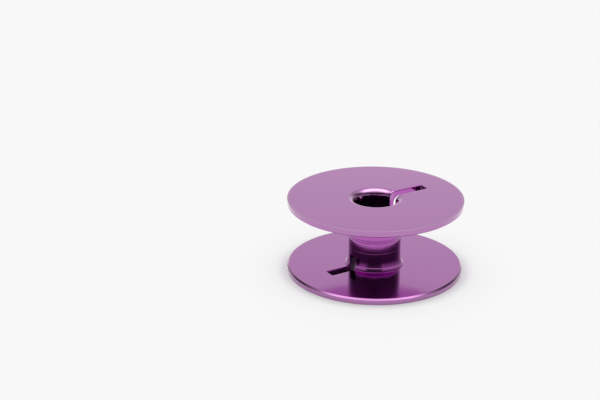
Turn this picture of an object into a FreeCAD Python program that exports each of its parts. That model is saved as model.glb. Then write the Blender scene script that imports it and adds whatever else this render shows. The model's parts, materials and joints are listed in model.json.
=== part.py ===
import FreeCAD, Part
import math
import os

# Thread bobbin for a sewing machine: a hollow hub between two thin round flanges, turned from
# one piece of aluminium and then slotted once through each flange for the thread's tail.
# Millimetres. The origin is the middle of the lower flange's outer face, +Z is the bore's axis.

# Driving dimensions of the turned body
OVERALL_HEIGHT = 11.0
FLANGE_DIAMETER = 25.4
FLANGE_THICKNESS = 0.85
BORE_DIAMETER = 6.0
HUB_WALL = 0.8
# Radius of the inside corner where the hub runs out into each flange
HUB_FILLET = 0.9
# Equal bevels on each rim's inner edge, which the thread runs over, and on its outer edge
RIM_BEVEL = 0.3
RIM_EDGE = 0.06
# Equal bevel at each mouth of the bore
BORE_BEVEL = 0.35

# Driving dimensions of the slots
SLOT_WIDTH = 1.5
# Depth of the cut below the flange's outer face, measured over the hub wall
SLOT_DEPTH = 2.8
# Metal left between the slot's end and the rim, on the flange's outer face
SLOT_TO_RIM = 4.2
# Room between the cut and the bore's far wall, which stays whole
SLOT_CLEARANCE = 0.3
# Direction of the upper slot from +X, with the lower slot on the opposite side
SLOT_ANGLE = 34.0
# Radius that takes the sharpness off both mouths of each slot
SLOT_EDGE = 0.1

BORE_RADIUS = BORE_DIAMETER / 2
HUB_RADIUS = BORE_RADIUS + HUB_WALL
FLANGE_RADIUS = FLANGE_DIAMETER / 2
UPPER_FLANGE_BASE = OVERALL_HEIGHT - FLANGE_THICKNESS
# An edge within this distance of a surface, at this many points along it, lies on the surface
TOUCH = 1e-4
EDGE_SAMPLES = 5

UP = FreeCAD.Vector(0, 0, 1)
ORIGIN = FreeCAD.Vector(0, 0, 0)
MIDDLE = FreeCAD.Vector(0, 0, OVERALL_HEIGHT / 2)


def rounded(corner, back, ahead, radius):
    """Arc that rounds a right-angled corner between two unit directions."""
    middle = corner + (back + ahead) * (radius * (1 - math.sqrt(0.5)))
    return Part.Arc(corner + back * radius, middle, corner + ahead * radius).toShape()


def bevelled(corner, back, ahead, reach):
    """Straight cut across a right-angled corner between two unit directions."""
    return Part.LineSegment(corner + back * reach, corner + ahead * reach).toShape()


def worked_outline(corners):
    """Closed wire in the XZ plane through right-angled corners, each (x, z, how it is worked, size)."""
    points = [FreeCAD.Vector(x, 0, z) for x, z, _, _ in corners]
    cuts = []
    for index, (_, _, work, size) in enumerate(corners):
        corner = points[index]
        back = (points[index - 1] - corner).normalize()
        ahead = (points[(index + 1) % len(points)] - corner).normalize()
        cuts.append(work(corner, back, ahead, size))
    edges = []
    for index, cut in enumerate(cuts):
        run = Part.LineSegment(cuts[index - 1].lastVertex().Point, cut.firstVertex().Point)
        edges += [run.toShape(), cut]
    return Part.Wire(edges)


def turned_body():
    """Hub, flanges and bore as one revolved section, with every turned edge worked."""
    outline = worked_outline([
        (BORE_RADIUS, 0, bevelled, BORE_BEVEL),
        (FLANGE_RADIUS, 0, bevelled, RIM_EDGE),
        (FLANGE_RADIUS, FLANGE_THICKNESS, bevelled, RIM_BEVEL),
        (HUB_RADIUS, FLANGE_THICKNESS, rounded, HUB_FILLET),
        (HUB_RADIUS, UPPER_FLANGE_BASE, rounded, HUB_FILLET),
        (FLANGE_RADIUS, UPPER_FLANGE_BASE, bevelled, RIM_BEVEL),
        (FLANGE_RADIUS, OVERALL_HEIGHT, bevelled, RIM_EDGE),
        (BORE_RADIUS, OVERALL_HEIGHT, bevelled, BORE_BEVEL),
    ])
    return Part.Face(outline).revolve(ORIGIN, UP, 360)


def upper_slot_cutter():
    """Disc cutter at the bottom of its plunge through the upper flange and the hub wall."""
    far_end = FLANGE_RADIUS - SLOT_TO_RIM
    near_end = SLOT_CLEARANCE - BORE_RADIUS
    half_chord = (far_end - near_end) / 2
    radius = (half_chord ** 2 + SLOT_DEPTH ** 2) / (2 * SLOT_DEPTH)
    centre_height = OVERALL_HEIGHT - SLOT_DEPTH + radius
    centre = FreeCAD.Vector((far_end + near_end) / 2, -SLOT_WIDTH / 2, centre_height)
    disc = Part.makeCylinder(radius, SLOT_WIDTH, centre, FreeCAD.Vector(0, 1, 0))
    disc.rotate(ORIGIN, UP, SLOT_ANGLE)
    return disc


def turned_over(shape):
    """The same shape at the bobbin's other end, across its axis on the opposite side."""
    angle = math.radians(SLOT_ANGLE + 90)
    copy = shape.copy()
    copy.rotate(MIDDLE, FreeCAD.Vector(math.cos(angle), math.sin(angle), 0), 180)
    return copy


def lies_on(edge, shape):
    """True where the whole edge runs along the given surface or line."""
    samples = [Part.Vertex(point) for point in edge.discretize(EDGE_SAMPLES)]
    return all(shape.distToShape(sample)[0] < TOUCH for sample in samples)


def slot_mouth_edges(body, cutter):
    """Edges between a slot and the body's turned faces, without the corners inside the slot."""
    on_slot = [edge for edge in body.Edges if lies_on(edge, cutter.Shells[0])]
    return [edge for edge in on_slot if not any(lies_on(edge, corner) for corner in cutter.Edges)]


def bobbin():
    """The turned body with a slot in each flange, and the sharp edges of the slots rounded."""
    upper = upper_slot_cutter()
    cutters = [upper, turned_over(upper)]
    slotted = turned_body().cut(cutters)
    mouths = [edge for cutter in cutters for edge in slot_mouth_edges(slotted, cutter)]
    return slotted.makeFillet(SLOT_EDGE, mouths).Solids[0]


os.makedirs("parts", exist_ok=True)
bobbin().exportStep("parts/bobbin.step")
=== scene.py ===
import json
import math
from collections import namedtuple

import bmesh
import bpy
from mathutils import Matrix, Vector


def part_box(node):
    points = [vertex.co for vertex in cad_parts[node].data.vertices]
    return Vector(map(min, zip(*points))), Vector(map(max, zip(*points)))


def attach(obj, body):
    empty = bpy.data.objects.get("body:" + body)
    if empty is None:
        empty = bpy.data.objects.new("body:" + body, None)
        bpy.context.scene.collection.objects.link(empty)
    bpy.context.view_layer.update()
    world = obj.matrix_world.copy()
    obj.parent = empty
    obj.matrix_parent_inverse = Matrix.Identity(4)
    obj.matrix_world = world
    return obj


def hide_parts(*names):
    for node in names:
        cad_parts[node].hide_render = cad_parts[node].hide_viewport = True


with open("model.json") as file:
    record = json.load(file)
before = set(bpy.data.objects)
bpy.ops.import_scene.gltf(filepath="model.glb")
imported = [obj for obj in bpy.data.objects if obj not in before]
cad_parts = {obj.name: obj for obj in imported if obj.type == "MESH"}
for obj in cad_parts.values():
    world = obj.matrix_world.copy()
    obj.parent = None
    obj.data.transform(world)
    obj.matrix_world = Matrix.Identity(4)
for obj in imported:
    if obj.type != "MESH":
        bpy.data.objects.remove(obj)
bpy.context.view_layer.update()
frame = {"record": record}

# Looks of a turned and anodised thread bobbin, standing on its lower flange.
# The origin is the middle of the lower flange's outer face, and +Z is the bore's axis.
# The bobbin is made in millimetres and scaled once, when its shading is settled.
# The shaders, the stage and the camera are in metres.

NODE = "bobbin"
FINISH = "anodised_aluminium"
MM = 0.001

# Sizes that the frame gives
LOW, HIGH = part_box(NODE)
FLANGE_RADIUS = (HIGH[0] - LOW[0]) / 2 / MM
HEIGHT = (HIGH[2] - LOW[2]) / MM
MIDDLE = HEIGHT / 2
BORE_RADIUS = frame["record"]["mounts"][0]["dims"]["r_mm"]

# Walls of the turned section
HUB_WALL = 0.8
FLANGE_THICKNESS = 0.85
HUB_RADIUS = BORE_RADIUS + HUB_WALL
INNER_FACE = HEIGHT - FLANGE_THICKNESS
# Inside corners between hub and flanges: how far each runs out and how far it rises
UPPER_FILLET = (1.1, 1.1)
LOWER_FILLET = (0.5, 1.3)
# Radius of the bore's lips, bevels inside the rims, and radii that round the rims' edges
BORE_LIP = 0.95
UPPER_BEVEL = 0.12
LOWER_BEVEL = 0.24
RIM_BEVEL_ROUND = 0.08
RIM_EDGE = 0.015

# Fine turning lines round the hub: the height, depth and width of each
LINES_ABOVE = ((5.66, 0.02, 0.1),)
LINES_BELOW = ((5.34, 0.015, 0.1), (3.76, 0.004, 0.07))
# Section of a line, in shares of half its width and of its depth
LINE_SECTION = ((1, 0), (0.5, 0.5), (0, 1), (-0.5, 0.5), (-1, 0))

# Slots, each one plunge of a disc cutter through a flange and the hub wall below it
SLOT_HALF = 0.75
SLOT_DEPTH = 2.8
SLOT_EDGE = 0.14
SLOT_ANGLE = math.radians(34)
SLOT_TO_RIM = 4.2
SLOT_CLEARANCE = 0.3
SLOT_FAR = FLANGE_RADIUS - SLOT_TO_RIM
SLOT_NEAR = SLOT_CLEARANCE - BORE_RADIUS
CUTTER_X = (SLOT_FAR + SLOT_NEAR) / 2
CUTTER_RADIUS = ((SLOT_FAR - CUTTER_X) ** 2 + SLOT_DEPTH ** 2) / (2 * SLOT_DEPTH)
CUTTER_Z = HEIGHT - SLOT_DEPTH + CUTTER_RADIUS

# Mesh density: columns round the bobbin, across half a slot and over its rounded edge,
# and steps along arcs, the hub's and the bore's walls, and the cutter's round edge
COLUMNS = 320
SLOT_COLUMNS = 3
EDGE_COLUMNS = 4
ARC_STEPS = 10
WALL_STEPS = 6
CUT_STEPS = 6
# Distances from a slot's ends at which its rounded edge grows from nothing to its full size
FADE = (0, 0.1, 0.2, 0.3)
# Distance beyond a slot's end of the ring that keeps its shading local
END_MARGIN = 0.15
SHARP_ANGLE = math.radians(40)
WELD = 0.0005

# Anodised aluminium: tinted metal under a clear oxide layer
METAL_COLOUR = (0.41, 0.042, 0.41, 1)
METAL_ROUGHNESS = 0.1
OXIDE_IOR = 1.8
OXIDE_ROUGHNESS = 0.1
# Highlights are drawn out across the turning marks, a quarter turn from the marks' direction
TURNING_ANISOTROPY = 0.5
TURNING_DIRECTION = 0.25
# Turning marks: how many to a metre of the tool's path, their depth in millimetres and
# what they add to the roughness; the slant lets them run over walls, faces and bevels alike
MARKS_PER_METRE = 9000
MARK_DETAIL = 3
MARK_DEPTH = 0.0003
MARK_ROUGHNESS = 0.05
MARK_SLANT = 1.7
# Paler tint of the edges, partly wear that thins the anodise and partly a painted highlight that
# whitens
# the glints there: where it starts and is full, in millimetres inside the rim, and where it starts
# in the bore, in lip radii below the flange's face
EDGE_WEAR_AND_HIGHLIGHT_COLOUR = (0.43, 0.15, 0.42, 1)
WEAR_AND_HIGHLIGHT_START = 0.4
WEAR_AND_HIGHLIGHT_FULL = 0.1
WEAR_AND_HIGHLIGHT_BORE = 1.5

# Camera, aimed at the origin and then turned to the photograph's framing
CAMERA_DISTANCE = 0.23424
CAMERA_ELEVATION = math.radians(24.232)
CAMERA_TURN = math.radians(2.704)
CAMERA_TILT = math.radians(2.356)
CAMERA_ROLL = math.radians(1.290)
CAMERA_LENS = 96.0
SENSOR_WIDTH = 36
CLIP_START = 0.01

# White table, with painted shade where the bobbin covers it, and aglow round it where it is seen or
# mirrored
FLOOR_SIZE = 6.0
# The table lies this much lower than the flange, so that the two never share a plane
FLOOR_DROP = 0.00002
FLOOR_COLOUR = (0.78, 0.777, 0.78, 1)
# Painted shade on the table under the bobbin: its colour, and the radii in metres out to which it
# is full and at which it is gone
PAINTED_SHADE_COLOUR = (0.15, 0.15, 0.15, 1)
PAINTED_SHADE_START = 0.010
PAINTED_SHADE_END = 0.0125
GLOW_COLOUR = (0.94, 0.935, 0.94, 1)
GLOW_SHARE = 0.78
GLOW_START = 0.0122
GLOW_END = 0.015

# Light by direction. Places are parts of a unit direction: X aside, Y to the back, Z up.
WHITE = (1, 1, 1, 1)
ROOM_LEVEL = 0.045
# White wall at the back
WALL_LEVEL = 0.92
WALL_FALLOFF = 3
# Pale roof, which ends towards the front
ROOF_LEVEL = 0.55
ROOF_START = 0.5
ROOF_FULL = 0.75
ROOF_FRONT = -0.6
ROOF_BACK = -0.3
# Round lamp in the roof, a little before the top and dimmer at its front
LAMP_LEVEL = 3.1
LAMP_AHEAD = 0.1
LAMP_EDGE = 0.75
LAMP_CORE = 0.4
LAMP_DIMMING = 0.6
DIMMING_START = -0.1
DIMMING_FULL = -0.35
# Low white wall round the sides and the back, which the faces mirror in flat views
LOW_WALL_LEVEL = 0.45
LOW_WALL_TOP = 0.38
LOW_WALL_FULL = 0.27
LOW_WALL_FRONT = -0.92
LOW_WALL_BACK = -0.75

Ring = namedtuple("Ring", "radius height follow")
# Rings at which the slot opens and closes: in the bore and on the face, then on the inner face
# and in the hub
Opening = namedtuple("Opening", "bottom far near foot")


def rounded_corner(before, corner, after, radius):
    """Points of the arc that rounds a corner of a path."""
    before, corner, after = Vector(before), Vector(corner), Vector(after)
    back = (before - corner).normalized()
    ahead = (after - corner).normalized()
    half = back.angle(ahead) / 2
    centre = corner + (back + ahead).normalized() * (radius / math.sin(half))
    start = corner + back * (radius / math.tan(half)) - centre
    end = corner + ahead * (radius / math.tan(half)) - centre
    turn = math.atan2(start.x * end.y - start.y * end.x, start.dot(end))
    turns = [turn * step / ARC_STEPS for step in range(ARC_STEPS + 1)]
    return [centre + Matrix.Rotation(angle, 2) @ start for angle in turns]


def cut_height(x):
    """Height of the cutter's lower surface at a distance along the slot."""
    return CUTTER_Z - math.sqrt(CUTTER_RADIUS ** 2 - (x - CUTTER_X) ** 2)


def cut_reach(z):
    """Distance along the slot of the cutter's far surface at a height."""
    return CUTTER_X + math.sqrt(CUTTER_RADIUS ** 2 - (z - CUTTER_Z) ** 2)


def followed(points):
    """Rings through points of the section, with columns that follow the slot."""
    return [Ring(radius, height, 1) for radius, height in points]


def end_radius(reach):
    """Radius of the ring through the corners of a slot's end."""
    return math.hypot(reach, SLOT_HALF + SLOT_EDGE)


def bore_rings():
    """Bore wall from the bobbin's middle up to the bottom of the slot."""
    rise = cut_height(BORE_RADIUS) - MIDDLE
    shares = [step / WALL_STEPS for step in range(WALL_STEPS)]
    return [Ring(BORE_RADIUS, MIDDLE + rise * share, share) for share in shares]


def mouth_rings():
    """From the slot's bottom over the bore's lip and the flange's face to the slot's far end."""
    bottom = cut_height(BORE_RADIUS)
    wall = [(BORE_RADIUS, bottom + step) for step in FADE]
    corner = (BORE_RADIUS, HEIGHT)
    lip = rounded_corner((BORE_RADIUS, bottom), corner, (FLANGE_RADIUS, HEIGHT), BORE_LIP)
    face = [(end_radius(SLOT_FAR) - step, HEIGHT) for step in reversed(FADE)]
    return followed(wall + lip + face)


def rim_rings(bevel):
    """From the flange's face round its rim to the flange's inner face."""
    path = [
        (BORE_RADIUS, HEIGHT),
        (FLANGE_RADIUS, HEIGHT),
        (FLANGE_RADIUS, INNER_FACE + bevel),
        (FLANGE_RADIUS - bevel, INNER_FACE),
        (HUB_RADIUS, INNER_FACE),
    ]
    points = [(end_radius(SLOT_FAR) + END_MARGIN, HEIGHT)]
    for index, radius in enumerate((RIM_EDGE, RIM_BEVEL_ROUND, RIM_BEVEL_ROUND)):
        points += rounded_corner(*path[index:index + 3], radius)
    points.append((end_radius(cut_reach(INNER_FACE)) + END_MARGIN, INNER_FACE))
    return followed(points)


def groove(line):
    """Points across one fine turning line, from its top down."""
    height, depth, width = line
    return [(HUB_RADIUS - share * depth, height + step * width / 2) for step, share in LINE_SECTION]


def hub_fillet(out, rise):
    """Points of the elliptic inside corner from the flange to the hub."""
    points = []
    for step in range(ARC_STEPS + 1):
        facing = math.pi / 2 * (1 - step / ARC_STEPS)
        turn = math.atan2(rise * math.sin(facing), out * math.cos(facing))
        radius = HUB_RADIUS + out * (1 - math.cos(turn))
        points.append((radius, INNER_FACE - rise * (1 - math.sin(turn))))
    return points


def inner_rings(fillet, lines):
    """From the slot's end on the inner face over the hub's fillet to the slot's bottom."""
    bottom = cut_height(HUB_RADIUS)
    face = [(end_radius(cut_reach(INNER_FACE)) - step, INNER_FACE) for step in FADE]
    wall = [(HUB_RADIUS, bottom + step) for step in reversed(FADE)]
    above = [point for line in lines if line[0] > bottom for point in groove(line)]
    return followed(face + hub_fillet(*fillet) + above + wall)


def hub_rings(lines):
    """Hub wall from the slot's bottom to the bobbin's middle, with a fine groove at each line."""
    bottom = cut_height(HUB_RADIUS)
    drop = bottom - MIDDLE
    points = [(HUB_RADIUS, bottom - drop * step / WALL_STEPS) for step in range(1, WALL_STEPS + 1)]
    points += [point for line in lines if line[0] < bottom for point in groove(line)]
    points.sort(key=lambda point: -point[1])
    return [Ring(radius, height, (height - MIDDLE) / drop) for radius, height in points]


def half_rings(bevel, fillet, lines):
    """Rings of one half, from the middle of the bore to the middle of the hub, and its opening."""
    parts = [bore_rings(), mouth_rings(), rim_rings(bevel), inner_rings(fillet, lines)]
    bore, mouth, rim, inner = [len(part) for part in parts]
    near = bore + mouth + rim
    opening = Opening(bottom=bore, far=bore + mouth - 1, near=near, foot=near + inner - 1)
    return sum(parts, []) + hub_rings(lines), opening


def column_offset(column):
    """Place across the slot and depth below the surface of a column in the slot or on its edge."""
    step = abs(column)
    side = math.copysign(1, column)
    if step <= SLOT_COLUMNS:
        return column / SLOT_COLUMNS * SLOT_HALF, SLOT_EDGE
    turn = (step - SLOT_COLUMNS) / EDGE_COLUMNS * math.pi / 2
    offset = SLOT_HALF + SLOT_EDGE * (1 - math.cos(turn))
    return side * offset, SLOT_EDGE * (1 - math.sin(turn))


def column_angle(ring, column):
    """Angle from the slot's direction of a column where it crosses a ring."""
    even = math.tau * column / COLUMNS
    last = SLOT_COLUMNS + EDGE_COLUMNS
    if abs(column) <= last:
        aligned = math.asin(column_offset(column)[0] / ring.radius)
    else:
        edge = math.asin((SLOT_HALF + SLOT_EDGE) / ring.radius)
        share = (abs(column) - last) / (COLUMNS / 2 - last)
        aligned = math.copysign(edge + (math.pi - edge) * share, column)
    return even + (aligned - even) * ring.follow


def edge_fades(rings, start, end):
    """Share of the slot's edge rounding at each ring of a span, nothing at both of its ends."""
    places = [Vector(ring[:2]) for ring in rings]
    steps = [(places[index] - places[index - 1]).length for index in range(start + 1, end + 1)]
    travelled = [sum(steps[:index]) for index in range(len(steps) + 1)]
    return {start + index: min(1, travel / FADE[-1], (travelled[-1] - travel) / FADE[-1])
            for index, travel in enumerate(travelled)}


def ring_points(rings, index, fade, reach):
    """Points of a ring, sunk along the slot's edges, and straight across the slot where it ends."""
    ring = rings[index]
    before, after = rings[max(index - 1, 0)], rings[min(index + 1, len(rings) - 1)]
    inward = Vector((after.height - before.height, before.radius - after.radius)).normalized()
    points = {}
    for column in range(1 - COLUMNS // 2, COLUMNS // 2 + 1):
        angle = column_angle(ring, column)
        point = Vector((ring.radius * math.cos(angle), ring.radius * math.sin(angle), ring.height))
        if abs(column) <= SLOT_COLUMNS + EDGE_COLUMNS:
            depth = fade * column_offset(column)[1]
            point += Vector((inward.x * depth, 0, inward.y * depth))
            if reach:
                point.x = reach
        points[column] = point
    return points


def half_grid(bm, place, rings, opening):
    """Vertices of one half of the bobbin: for each ring, one to a column."""
    fades = edge_fades(rings, opening.bottom, opening.far)
    fades.update(edge_fades(rings, opening.near, opening.foot))
    ends = {opening.far: SLOT_FAR, opening.near: cut_reach(INNER_FACE)}
    grid = []
    for index in range(len(rings)):
        points = ring_points(rings, index, fades.get(index, 0), ends.get(index))
        grid.append({column: bm.verts.new(place @ point) for column, point in points.items()})
    return grid


def add_skin(bm, grid, opening):
    """Faces between the rings, with the slot left open."""
    columns = list(grid[0])
    for index, (ring, above) in enumerate(zip(grid, grid[1:])):
        in_bore_and_face = opening.bottom <= index < opening.far
        in_inner_face_and_hub = opening.near <= index < opening.foot
        for column, ahead in zip(columns, columns[1:] + columns[:1]):
            in_slot = -SLOT_COLUMNS <= column < SLOT_COLUMNS
            if in_slot and (in_bore_and_face or in_inner_face_and_hub):
                continue
            bm.faces.new((ring[column], ring[ahead], above[ahead], above[column]))


def across(points):
    """Columns from one side of the slot to the other."""
    return [points[column] for column in range(-SLOT_COLUMNS, SLOT_COLUMNS + 1)]


def strip(bm, rows):
    """Quads between rows of as many vertices each."""
    for row, ahead in zip(rows, rows[1:]):
        for index in range(len(row) - 1):
            bm.faces.new((row[index], row[index + 1], ahead[index + 1], ahead[index]))


def cut_rows(bm, place, path):
    """Rows of vertices across the slot, at points along the cutter's round edge."""
    sides = [column_offset(column)[0] for column in range(-SLOT_COLUMNS, SLOT_COLUMNS + 1)]
    return [[bm.verts.new(place @ Vector((x, side, z))) for side in sides] for x, z in path]


def between(start, end):
    """Inner steps of a run along the cutter's round edge."""
    return [start + (end - start) * step / CUT_STEPS for step in range(1, CUT_STEPS)]


def add_slot(bm, place, grid, opening):
    """The slot's round end in the flange, its floor in the hub wall, and its two side walls."""
    bottom, far, near, foot = opening
    end = cut_rows(bm, place, [(cut_reach(z), z) for z in between(HEIGHT, INNER_FACE)])
    end = [across(grid[far]), *end, across(grid[near])]
    floor = cut_rows(bm, place, [(x, cut_height(x)) for x in between(HUB_RADIUS, BORE_RADIUS)])
    floor = [across(grid[foot]), *floor, across(grid[bottom])]
    strip(bm, end)
    strip(bm, floor)
    for column, item in ((-SLOT_COLUMNS, 0), (SLOT_COLUMNS, -1)):
        loop = [grid[index][column] for index in range(bottom, far)]
        loop += [row[item] for row in end]
        loop += [grid[index][column] for index in range(near + 1, foot)]
        loop += [row[item] for row in floor[:-1]]
        bm.faces.new(loop)


def add_half(bm, place, bevel, fillet, lines):
    """One half of the bobbin: a slotted flange with half of the bore and half of the hub."""
    rings, opening = half_rings(bevel, fillet, lines)
    grid = half_grid(bm, place, rings, opening)
    add_skin(bm, grid, opening)
    add_slot(bm, place, grid, opening)


def bobbin_mesh():
    """The whole bobbin: two halves, of which one is turned over, welded at the bobbin's middle."""
    bm = bmesh.new()
    upper = Matrix.Rotation(SLOT_ANGLE, 4, "Z")
    middle = Matrix.Translation((0, 0, MIDDLE))
    lower = upper @ middle @ Matrix.Rotation(math.pi, 4, "Y") @ middle.inverted()
    add_half(bm, upper, UPPER_BEVEL, UPPER_FILLET, LINES_ABOVE)
    lines_turned = [(HEIGHT - height, depth, width) for height, depth, width in LINES_BELOW]
    add_half(bm, lower, LOWER_BEVEL, LOWER_FILLET, lines_turned)
    bmesh.ops.remove_doubles(bm, verts=bm.verts, dist=WELD)
    bmesh.ops.recalc_face_normals(bm, faces=bm.faces)
    return bm


def as_object(bm, name):
    """New object in the scene with the mesh of a bmesh, which is freed."""
    mesh = bpy.data.meshes.new(name)
    bm.to_mesh(mesh)
    bm.free()
    piece = bpy.data.objects.new(name, mesh)
    bpy.context.scene.collection.objects.link(piece)
    return piece


def shade_smooth(piece):
    """Smooth shading that keeps flat faces flat and stops at sharp edges."""
    piece.data.shade_smooth()
    piece.data.set_sharp_from_angle(angle=SHARP_ANGLE)
    weighted = piece.modifiers.new("flat_faces_lead", "WEIGHTED_NORMAL")
    weighted.keep_sharp = True


def in_metres(piece):
    """Settles the shading in millimetres, where small faces still count, then scales the mesh."""
    shaded = piece.evaluated_get(bpy.context.evaluated_depsgraph_get())
    mesh = bpy.data.meshes.new_from_object(shaded)
    mesh.transform(Matrix.Scale(MM, 4))
    piece.modifiers.clear()
    piece.data = mesh


def math_node(tree, operation, *operands):
    """Math node whose operands are numbers or other nodes' outputs."""
    node = tree.nodes.new("ShaderNodeMath")
    node.operation = operation
    for socket, operand in zip(node.inputs, operands):
        if isinstance(operand, (int, float)):
            socket.default_value = operand
        else:
            tree.links.new(operand, socket)
    return node.outputs[0]


def smooth_step(tree, value, start, end):
    """Rises smoothly from 0 to 1 as the value goes from start to end."""
    node = tree.nodes.new("ShaderNodeMapRange")
    node.interpolation_type = "SMOOTHSTEP"
    node.inputs["From Min"].default_value = start
    node.inputs["From Max"].default_value = end
    tree.links.new(value, node.inputs["Value"])
    return node.outputs["Result"]


def mixed_colour(tree, share, first, second):
    """Colour that goes from the first to the second as the share goes from 0 to 1."""
    node = tree.nodes.new("ShaderNodeMix")
    node.data_type = "RGBA"
    node.inputs["A"].default_value = first
    node.inputs["B"].default_value = second
    tree.links.new(share, node.inputs["Factor"])
    return node.outputs["Result"]


def radius_and_height(tree):
    """Distance from the bore's axis and height above the table, in metres."""
    place = tree.nodes.new("ShaderNodeSeparateXYZ")
    tree.links.new(tree.nodes.new("ShaderNodeTexCoord").outputs["Object"], place.inputs[0])
    x, y, z = place.outputs
    squares = math_node(tree, "MULTIPLY_ADD", x, x, math_node(tree, "MULTIPLY", y, y))
    return math_node(tree, "SQRT", squares), z


def turning_marks(tree, radius, height):
    """Fine irregular grooves round the axis, as a height between 0 and 1."""
    path = math_node(tree, "MULTIPLY_ADD", height, MARK_SLANT, radius)
    marks = tree.nodes.new("ShaderNodeTexNoise")
    marks.noise_dimensions = "1D"
    marks.inputs["Scale"].default_value = MARKS_PER_METRE
    marks.inputs["Detail"].default_value = MARK_DETAIL
    tree.links.new(path, marks.inputs["W"])
    return marks.outputs["Fac"]


def paler_edges(tree, radius, height):
    """Share of the paler tint, partly edge wear and partly a painted highlight: all of it on the
    rims and the bore's lips, nothing elsewhere.
    """
    rim_start, rim_full = FLANGE_RADIUS - WEAR_AND_HIGHLIGHT_START, FLANGE_RADIUS - WEAR_AND_HIGHLIGHT_FULL
    rim = smooth_step(tree, radius, rim_start * MM, rim_full * MM)
    lip_start, lip_full = BORE_RADIUS + BORE_LIP, BORE_RADIUS + BORE_LIP / 2
    inside = smooth_step(tree, radius, lip_start * MM, lip_full * MM)
    from_middle = math_node(tree, "ABSOLUTE", math_node(tree, "SUBTRACT", height, MIDDLE * MM))
    bore_start, bore_full = MIDDLE - BORE_LIP * WEAR_AND_HIGHLIGHT_BORE, MIDDLE - BORE_LIP
    at_end = smooth_step(tree, from_middle, bore_start * MM, bore_full * MM)
    return math_node(tree, "MULTIPLY_ADD", inside, at_end, rim)


def mark_surface(tree, shader, marks):
    """Lets the turning marks roughen and groove the metal, and draw out its highlights."""
    rough = math_node(tree, "MULTIPLY_ADD", marks, MARK_ROUGHNESS, METAL_ROUGHNESS)
    tree.links.new(rough, shader.inputs["Roughness"])
    bump = tree.nodes.new("ShaderNodeBump")
    bump.inputs["Distance"].default_value = MARK_DEPTH * MM
    tree.links.new(marks, bump.inputs["Height"])
    tree.links.new(bump.outputs["Normal"], shader.inputs["Normal"])
    tree.links.new(bump.outputs["Normal"], shader.inputs["Coat Normal"])
    tangent = tree.nodes.new("ShaderNodeTangent")
    tangent.direction_type = "RADIAL"
    tangent.axis = "Z"
    tree.links.new(tangent.outputs["Tangent"], shader.inputs["Tangent"])


def anodised_aluminium():
    """Purple anodised metal with fine turning marks, paler along its edges, partly as wear and
    partly as a painted highlight.
    """
    material = bpy.data.materials.new(FINISH)
    material.use_nodes = True
    tree = material.node_tree
    shader = tree.nodes["Principled BSDF"]
    radius, height = radius_and_height(tree)
    wear_and_highlight = paler_edges(tree, radius, height)
    # Paler edges: partly wear, partly a painted highlight that whitens the glints on rims and lips
    tint = mixed_colour(tree, wear_and_highlight, METAL_COLOUR, EDGE_WEAR_AND_HIGHLIGHT_COLOUR)
    tree.links.new(tint, shader.inputs["Base Color"])
    mark_surface(tree, shader, turning_marks(tree, radius, height))
    constants = {
        "Metallic": 1,
        "Anisotropic": TURNING_ANISOTROPY,
        "Anisotropic Rotation": TURNING_DIRECTION,
        "Coat Weight": 1,
        "Coat IOR": OXIDE_IOR,
        "Coat Roughness": OXIDE_ROUGHNESS,
    }
    for name, value in constants.items():
        shader.inputs[name].default_value = value
    return material


def bobbin():
    """The dressed bobbin, which stands for the bare solid."""
    piece = as_object(bobbin_mesh(), "bobbin_body")
    shade_smooth(piece)
    in_metres(piece)
    piece.data.materials.append(anodised_aluminium())
    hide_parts(NODE)
    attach(piece, "root")


def glow_share(tree, radius):
    """Share of the table's glow: round the bobbin only, and only where it is seen or mirrored."""
    path = tree.nodes.new("ShaderNodeLightPath").outputs
    seen = math_node(tree, "ADD", path["Is Camera Ray"], path["Is Glossy Ray"])
    seen = math_node(tree, "ADD", seen, path["Is Transmission Ray"])
    around = smooth_step(tree, radius, GLOW_START, GLOW_END)
    return math_node(tree, "MULTIPLY", math_node(tree, "MULTIPLY", seen, around), GLOW_SHARE)


def white_table():
    """Dull white with a glow of its own, and painted shade where the bobbin stands."""
    material = bpy.data.materials.new("white_table")
    material.use_nodes = True
    tree = material.node_tree
    shader = tree.nodes["Principled BSDF"]
    radius, _ = radius_and_height(tree)
    # Painted shade: the table is dark under the bobbin and white beyond it
    outside_painted_shade = smooth_step(tree, radius, PAINTED_SHADE_START, PAINTED_SHADE_END)
    shade = mixed_colour(tree, outside_painted_shade, PAINTED_SHADE_COLOUR, FLOOR_COLOUR)
    tree.links.new(shade, shader.inputs["Base Color"])
    shader.inputs["Roughness"].default_value = 1
    shader.inputs["Specular IOR Level"].default_value = 0
    glow = tree.nodes.new("ShaderNodeEmission")
    glow.inputs["Color"].default_value = GLOW_COLOUR
    mix = tree.nodes.new("ShaderNodeMixShader")
    tree.links.new(glow_share(tree, radius), mix.inputs["Fac"])
    tree.links.new(shader.outputs[0], mix.inputs[1])
    tree.links.new(glow.outputs[0], mix.inputs[2])
    tree.links.new(mix.outputs[0], tree.nodes["Material Output"].inputs["Surface"])
    return material


def table():
    """Table top that the bobbin stands on."""
    bpy.ops.mesh.primitive_plane_add(size=FLOOR_SIZE, location=(0, 0, -FLOOR_DROP))
    top = bpy.context.object
    top.name = "table_top"
    top.data.materials.append(white_table())


def wall_light(tree, y):
    """White wall, brightest straight behind the bobbin."""
    back = math_node(tree, "MAXIMUM", y, 0)
    return math_node(tree, "MULTIPLY", math_node(tree, "POWER", back, WALL_FALLOFF), WALL_LEVEL)


def roof_light(tree, y, roof):
    """Even light of the roof, as far as its front edge."""
    indoors = math_node(tree, "MULTIPLY", roof, smooth_step(tree, y, ROOF_FRONT, ROOF_BACK))
    return math_node(tree, "MULTIPLY", indoors, ROOF_LEVEL)


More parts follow.
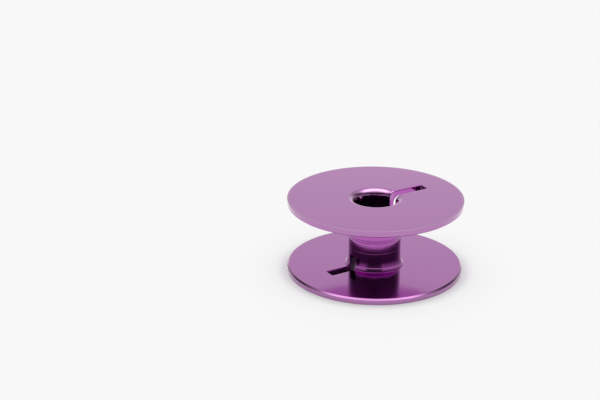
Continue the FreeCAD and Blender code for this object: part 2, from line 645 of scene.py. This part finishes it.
def lamp_light(tree, x, y, roof):
    """Soft-edged round lamp in the roof, dimmer at its front."""
    aside = math_node(tree, "POWER", x, 2)
    ahead = math_node(tree, "POWER", math_node(tree, "ADD", y, LAMP_AHEAD), 2)
    off_lamp = math_node(tree, "SQRT", math_node(tree, "ADD", aside, ahead))
    lamp = math_node(tree, "MULTIPLY", smooth_step(tree, off_lamp, LAMP_EDGE, LAMP_CORE), roof)
    front = smooth_step(tree, y, DIMMING_START, DIMMING_FULL)
    undimmed = math_node(tree, "MULTIPLY_ADD", front, -LAMP_DIMMING, 1)
    return math_node(tree, "MULTIPLY", math_node(tree, "MULTIPLY", lamp, undimmed), LAMP_LEVEL)


def low_wall_light(tree, y, z):
    """Low wall round the bobbin, open at the front."""
    low = smooth_step(tree, z, LOW_WALL_TOP, LOW_WALL_FULL)
    low = math_node(tree, "MULTIPLY", low, smooth_step(tree, y, LOW_WALL_FRONT, LOW_WALL_BACK))
    return math_node(tree, "MULTIPLY", low, LOW_WALL_LEVEL)


def tent_light():
    """World light by direction: walls, roof and lamp in a dark room."""
    world = bpy.data.worlds.new("tent")
    bpy.context.scene.world = world
    world.use_nodes = True
    tree = world.node_tree
    direction = tree.nodes.new("ShaderNodeSeparateXYZ")
    tree.links.new(tree.nodes.new("ShaderNodeTexCoord").outputs["Generated"], direction.inputs[0])
    x, y, z = direction.outputs
    roof = smooth_step(tree, z, ROOF_START, ROOF_FULL)
    level = math_node(tree, "ADD", wall_light(tree, y), lamp_light(tree, x, y, roof))
    level = math_node(tree, "ADD", level, roof_light(tree, y, roof))
    level = math_node(tree, "ADD", level, ROOM_LEVEL)
    level = math_node(tree, "MAXIMUM", level, low_wall_light(tree, y, z))
    background = tree.nodes["Background"]
    background.inputs["Color"].default_value = WHITE
    tree.links.new(level, background.inputs["Strength"])


def camera():
    """Camera at the photograph's viewpoint."""
    data = bpy.data.cameras.new("camera")
    data.lens = CAMERA_LENS
    data.sensor_width = SENSOR_WIDTH
    data.clip_start = CLIP_START
    viewer = bpy.data.objects.new("camera", data)
    aim = Matrix.Rotation(math.pi / 2 - CAMERA_ELEVATION, 4, "X")
    place = aim @ Matrix.Translation((0, 0, CAMERA_DISTANCE))
    turn = Matrix.Rotation(CAMERA_TURN, 4, "Y")
    tilt = Matrix.Rotation(CAMERA_TILT, 4, "X")
    roll = Matrix.Rotation(CAMERA_ROLL, 4, "Z")
    viewer.matrix_world = place @ turn @ tilt @ roll
    bpy.context.scene.collection.objects.link(viewer)
    bpy.context.scene.camera = viewer


bpy.context.scene.view_settings.view_transform = "Standard"
bobbin()
table()
tent_light()
camera()
